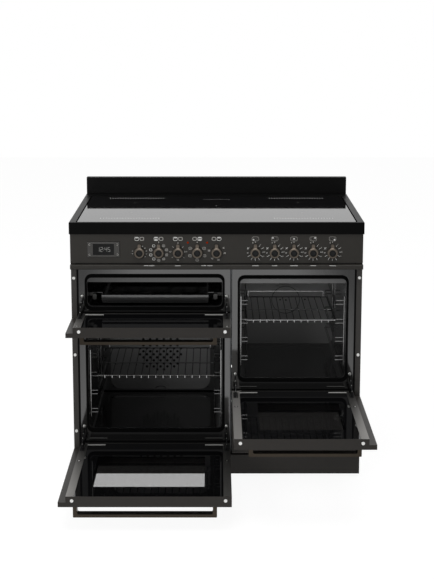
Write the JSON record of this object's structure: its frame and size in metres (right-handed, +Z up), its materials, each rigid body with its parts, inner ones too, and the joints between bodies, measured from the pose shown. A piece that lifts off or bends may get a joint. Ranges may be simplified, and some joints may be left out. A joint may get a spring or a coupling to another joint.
{
  "type": "range cooker",
  "caption": "Free-standing double-oven range cooker with induction hob, grill oven, drop-down doors shown open, storage flap and rear upstand.",
  "frame": {"origin": "on the floor, under the middle of the outline with the three oven doors open", "axes": "+X to the user's right, +Y towards the wall, +Z up"},
  "size_m": [1, 1.0777, 0.962],
  "materials": {
    "enamel": "glossy black vitreous enamel",
    "body_coat": "satin anthracite powder coat",
    "panel_coat": "satin anthracite fascia coat",
    "hob_steel": "gloss black coated steel",
    "zinc_sheet": "galvanised sheet",
    "steel": "satin stainless steel",
    "chrome_wire": "chromed wire",
    "glass_black": "black ceramic glass",
    "glass_tint": "grey tinted glass",
    "bronze": "satin bronze plating",
    "seal": "woven oven gasket",
    "white_plastic": "white nylon",
    "black_plastic": "matt black plastic",
    "screen": "smoked clock window",
    "element": "oxidised heater tube",
    "copper": "copper winding"
  },
  "bodies": {
    "cooker": {"base_frame": "zinc_sheet", "levelling_feet": "black_plastic", "plinth": "body_coat", "side_panels": "body_coat", "back_panel": "zinc_sheet", "front_posts": "body_coat", "oven_front_left": "enamel", "oven_front_right": "enamel", "grill_cavity": "enamel", "main_cavity": "enamel", "right_cavity": "enamel", "oven_seals": "seal", "control_panel": "panel_coat", "trim_moulding": "panel_coat", "hob_frame": "hob_steel", "hob_glass": "glass_black", "upstand": "hob_steel", "fan_covers": "enamel", "fan_motors": "steel", "heating_elements": "element", "shelf_supports": "chrome_wire", "induction_coils": "copper", "terminal_box": "black_plastic", "storage_liner": "zinc_sheet", "door_buffers": "white_plastic", "display_module": "screen", "hinge_jaws": "steel", "control_switches": "black_plastic", "main_shelf": "chrome_wire", "right_shelf": "chrome_wire", "grill_pan": "enamel"},
    "grill_door": {"grill_door_skin": "body_coat", "grill_door_frame": "steel", "grill_door_glass": "glass_black", "grill_door_handle": "bronze"},
    "main_door": {"main_door_skin": "body_coat", "main_door_frame": "steel", "main_door_glass": "glass_tint", "main_door_handle": "bronze"},
    "right_door": {"right_door_skin": "body_coat", "right_door_frame": "steel", "right_door_glass": "glass_tint", "right_door_handle": "bronze"},
    "storage_flap": {"storage_flap": "body_coat"},
    "main_fan": {"main_fan": "steel"},
    "right_fan": {"right_fan": "steel"},
    "left_knob_1": {"left_knob_1": "bronze"},
    "left_knob_2": {"left_knob_2": "bronze"},
    "left_knob_3": {"left_knob_3": "bronze"},
    "left_knob_4": {"left_knob_4": "bronze"},
    "left_knob_5": {"left_knob_5": "bronze"},
    "right_knob_1": {"right_knob_1": "bronze"},
    "right_knob_2": {"right_knob_2": "bronze"},
    "right_knob_3": {"right_knob_3": "bronze"},
    "right_knob_4": {"right_knob_4": "bronze"},
    "right_knob_5": {"right_knob_5": "bronze"},
    "clock_key_menu": {"clock_key_menu": "black_plastic"},
    "clock_key_down": {"clock_key_down": "black_plastic"},
    "clock_key_up": {"clock_key_up": "black_plastic"},
    "clock_key_set": {"clock_key_set": "black_plastic"}
  },
  "joints": [
    {"name": "grill_door_hinge", "type": "hinge", "parent": "cooker", "child": "grill_door", "pos_m": [0, -0.09105, 0.5648], "axis": [-1, 0, 0], "range_deg": [0, 90]},
    {"name": "main_door_hinge", "type": "hinge", "parent": "cooker", "child": "main_door", "pos_m": [0, -0.09105, 0.1003], "axis": [-1, 0, 0], "range_deg": [0, 90]},
    {"name": "right_door_hinge", "type": "hinge", "parent": "cooker", "child": "right_door", "pos_m": [0, -0.09105, 0.2888], "axis": [-1, 0, 0], "range_deg": [0, 90]},
    {"name": "storage_flap_hinge", "type": "hinge", "parent": "cooker", "child": "storage_flap", "pos_m": [0, -0.09105, 0.1003], "axis": [1, 0, 0], "range_deg": [0, 90]},
    {"name": "left_knob_1_turn", "type": "hinge", "parent": "cooker", "child": "left_knob_1", "pos_m": [-0.262, -0.07775, 0.794], "axis": [0, 1, 0], "range_deg": [0, 250]},
    {"name": "left_knob_2_turn", "type": "hinge", "parent": "cooker", "child": "left_knob_2", "pos_m": [-0.1966, -0.07775, 0.794], "axis": [0, 1, 0], "range_deg": [0, 300]},
    {"name": "left_knob_3_turn", "type": "hinge", "parent": "cooker", "child": "left_knob_3", "pos_m": [-0.1312, -0.07775, 0.794], "axis": [0, 1, 0], "range_deg": [0, 250]},
    {"name": "left_knob_4_turn", "type": "hinge", "parent": "cooker", "child": "left_knob_4", "pos_m": [-0.0658, -0.07775, 0.794], "axis": [0, 1, 0], "range_deg": [0, 300]},
    {"name": "left_knob_5_turn", "type": "hinge", "parent": "cooker", "child": "left_knob_5", "pos_m": [-0.0004, -0.07775, 0.794], "axis": [0, 1, 0], "range_deg": [0, 250]},
    {"name": "right_knob_1_turn", "type": "hinge", "parent": "cooker", "child": "right_knob_1", "pos_m": [0.1313, -0.07775, 0.794], "axis": [0, 1, 0], "range_deg": [0, 270]},
    {"name": "right_knob_2_turn", "type": "hinge", "parent": "cooker", "child": "right_knob_2", "pos_m": [0.1967, -0.07775, 0.794], "axis": [0, 1, 0], "range_deg": [0, 270]},
    {"name": "right_knob_3_turn", "type": "hinge", "parent": "cooker", "child": "right_knob_3", "pos_m": [0.2621, -0.07775, 0.794], "axis": [0, 1, 0], "range_deg": [0, 270]},
    {"name": "right_knob_4_turn", "type": "hinge", "parent": "cooker", "child": "right_knob_4", "pos_m": [0.3275, -0.07775, 0.794], "axis": [0, 1, 0], "range_deg": [0, 270]},
    {"name": "right_knob_5_turn", "type": "hinge", "parent": "cooker", "child": "right_knob_5", "pos_m": [0.3929, -0.07775, 0.794], "axis": [0, 1, 0], "range_deg": [0, 270]},
    {"name": "clock_key_menu_press", "type": "slide", "parent": "cooker", "child": "clock_key_menu", "axis": [0, 1, 0], "range_m": [0, 0.001], "stiffness_N_per_m": 400, "springref_m": -0.001},
    {"name": "clock_key_down_press", "type": "slide", "parent": "cooker", "child": "clock_key_down", "axis": [0, 1, 0], "range_m": [0, 0.001], "stiffness_N_per_m": 400, "springref_m": -0.001},
    {"name": "clock_key_up_press", "type": "slide", "parent": "cooker", "child": "clock_key_up", "axis": [0, 1, 0], "range_m": [0, 0.001], "stiffness_N_per_m": 400, "springref_m": -0.001},
    {"name": "clock_key_set_press", "type": "slide", "parent": "cooker", "child": "clock_key_set", "axis": [0, 1, 0], "range_m": [0, 0.001], "stiffness_N_per_m": 400, "springref_m": -0.001},
    {"name": "main_fan_spin", "type": "hinge", "parent": "cooker", "child": "main_fan", "pos_m": [-0.214, 0.38225, 0.322], "axis": [0, 1, 0], "continuous": true},
    {"name": "right_fan_spin", "type": "hinge", "parent": "cooker", "child": "right_fan", "pos_m": [0.265, 0.40825, 0.507], "axis": [0, 1, 0], "continuous": true}
  ]
}
